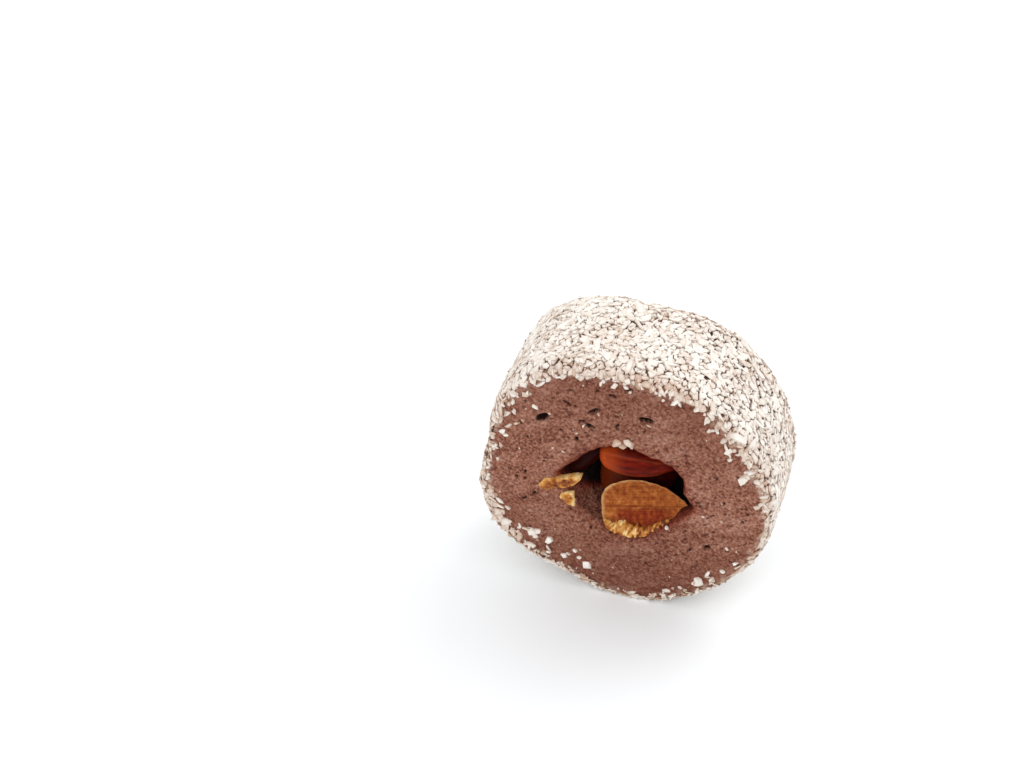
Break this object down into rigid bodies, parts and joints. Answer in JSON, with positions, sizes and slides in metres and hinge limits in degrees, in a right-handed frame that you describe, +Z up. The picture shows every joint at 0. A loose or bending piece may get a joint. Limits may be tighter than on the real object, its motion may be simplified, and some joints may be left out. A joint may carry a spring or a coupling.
{
  "type": "turkish delight",
  "caption": "Short round roll of chocolate nougat lokum coated in coconut flakes, lying on its side, with almonds showing in a hollow at the cut faces.",
  "frame": {"origin": "on the table under the middle of the roll's bounding box, at the flat spot that the roll rests on", "axes": "+Y along the roll's axis, from the shown cut face to the rear one; +X to the right as the shown cut face is seen; +Z up"},
  "size_m": [0.0574, 0.0276, 0.0543],
  "materials": {
    "nougat": "matte, porous chocolate nougat",
    "coconut": "matte dried coconut flakes",
    "almond_skin": "satin roasted almond skin",
    "almond_flesh": "satin roasted almond, split along its seam",
    "almond_chip": "dry golden almond chip"
  },
  "bodies": {
    "root": {"nougat_roll": "nougat", "almond_upper": "almond_skin", "almond_split": "almond_flesh", "almond_behind": "almond_skin", "almond_left": "almond_skin", "almond_rear_upper": "almond_skin", "almond_rear_lower": "almond_skin", "chip_upper": "almond_chip", "chip_lower": "almond_chip", "chip_rear": "almond_chip"}
  },
  "joints": []
}
